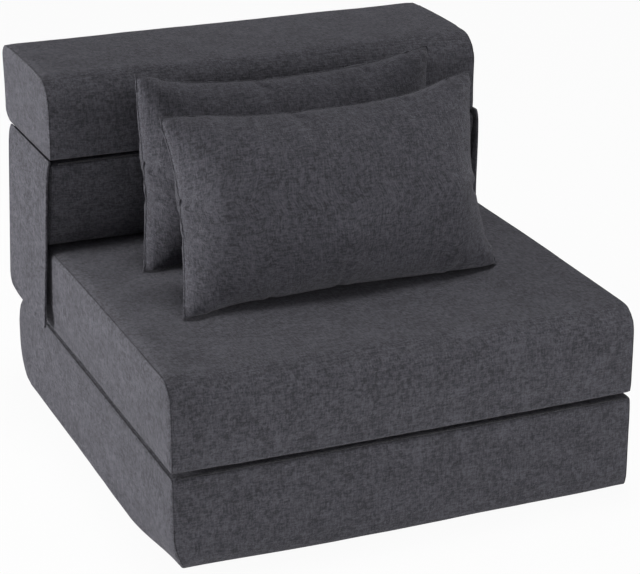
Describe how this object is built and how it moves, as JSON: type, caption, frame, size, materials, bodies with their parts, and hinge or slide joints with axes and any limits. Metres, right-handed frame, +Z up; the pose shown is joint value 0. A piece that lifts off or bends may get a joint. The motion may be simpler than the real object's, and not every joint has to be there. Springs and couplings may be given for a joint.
{
  "type": "convertible chair bed",
  "caption": "Low armless chair of hinged foam blocks in woven fabric covers that unfolds into a flat single bed, with side flaps and loose lumbar pillows.",
  "frame": {"origin": "on the floor, under the middle of the folded chair's bounding box", "axes": "+X to the right as seen from in front of the chair, +Y from the front edge to the back, +Z up"},
  "size_m": [0.7256, 0.773, 0.5591],
  "materials": {
    "cover_fabric": "matte",
    "flap_fabric": "matte",
    "pillow_fabric": "matte",
    "seam_fabric": "matte",
    "foam": "matte",
    "pillow_filling": "matte",
    "zip_tape": "matte",
    "zip_metal": "satin",
    "hook_and_loop": "matte"
  },
  "bodies": {
    "base": {"base_cover": "cover_fabric", "base_foam": "foam", "base_zip": "zip_tape"},
    "base_zip_slider": {"base_zip_slider": "zip_metal"},
    "seat": {"seat_cover": "cover_fabric", "seat_foam": "foam", "seat_zip": "zip_tape", "base_seat_fold_seam": "seam_fabric", "seat_back_fold_seam": "seam_fabric", "left_seat_loop_patch": "hook_and_loop", "right_seat_loop_patch": "hook_and_loop"},
    "seat_zip_slider": {"seat_zip_slider": "zip_metal"},
    "lower_back": {"lower_back_cover": "cover_fabric", "lower_back_foam": "foam", "lower_back_zip": "zip_tape", "back_halves_fold_seam": "seam_fabric"},
    "lower_back_zip_slider": {"lower_back_zip_slider": "zip_metal"},
    "upper_back": {"upper_back_cover": "cover_fabric", "upper_back_foam": "foam", "upper_back_zip": "zip_tape"},
    "upper_back_zip_slider": {"upper_back_zip_slider": "zip_metal"},
    "left_flap": {"left_side_flap": "flap_fabric", "left_flap_hook_patch": "hook_and_loop"},
    "right_flap": {"right_side_flap": "flap_fabric", "right_flap_hook_patch": "hook_and_loop"},
    "front_pillow": {"front_pillow_cover": "pillow_fabric", "front_pillow_filling": "pillow_filling", "front_pillow_zip": "zip_tape"},
    "front_pillow_zip_slider": {"front_pillow_zip_slider": "zip_metal"},
    "back_pillow": {"back_pillow_cover": "pillow_fabric", "back_pillow_filling": "pillow_filling", "back_pillow_zip": "zip_tape"},
    "back_pillow_zip_slider": {"back_pillow_zip_slider": "zip_metal"}
  },
  "joints": [
    {"name": "base_fold", "type": "hinge", "parent": "seat", "child": "base", "pos_m": [0, -0.3865, 0.151], "axis": [-1, 0, 0], "range_deg": [0, 180]},
    {"name": "back_fold", "type": "hinge", "parent": "seat", "child": "lower_back", "pos_m": [0, 0.3695, 0.285], "axis": [-1, 0, 0], "range_deg": [0, 180]},
    {"name": "top_fold", "type": "hinge", "parent": "lower_back", "child": "upper_back", "pos_m": [0, 0.1365, 0.426], "axis": [1, 0, 0], "range_deg": [0, 180]},
    {"name": "left_flap_swing", "type": "hinge", "parent": "upper_back", "child": "left_flap", "pos_m": [-0.3503, 0.1365, 0.431], "axis": [0, 1, 0], "range_deg": [-1.2, 90]},
    {"name": "right_flap_swing", "type": "hinge", "parent": "upper_back", "child": "right_flap", "pos_m": [0.3503, 0.1365, 0.431], "axis": [0, -1, 0], "range_deg": [-1.2, 90]},
    {"name": "front_pillow_lift", "type": "slide", "parent": "seat", "child": "front_pillow", "axis": [0, 0, 1], "range_m": [0, 0.25]},
    {"name": "back_pillow_lift", "type": "slide", "parent": "seat", "child": "back_pillow", "axis": [0, 0, 1], "range_m": [0, 0.25]},
    {"name": "base_zip_slide", "type": "slide", "parent": "base", "child": "base_zip_slider", "axis": [1, 0, 0], "range_m": [-0.551, 0]},
    {"name": "seat_zip_slide", "type": "slide", "parent": "seat", "child": "seat_zip_slider", "axis": [1, 0, 0], "range_m": [-0.551, 0]},
    {"name": "lower_back_zip_slide", "type": "slide", "parent": "lower_back", "child": "lower_back_zip_slider", "axis": [1, 0, 0], "range_m": [-0.551, 0]},
    {"name": "upper_back_zip_slide", "type": "slide", "parent": "upper_back", "child": "upper_back_zip_slider", "axis": [1, 0, 0], "range_m": [-0.551, 0]},
    {"name": "front_pillow_zip_slide", "type": "slide", "parent": "front_pillow", "child": "front_pillow_zip_slider", "axis": [1, 0, 0], "range_m": [-0.251, 0]},
    {"name": "back_pillow_zip_slide", "type": "slide", "parent": "back_pillow", "child": "back_pillow_zip_slider", "axis": [1, 0, 0], "range_m": [-0.251, 0]}
  ],
  "couplings": [
    {"joint": "top_fold", "follows": "back_fold", "ratio": 1}
  ]
}
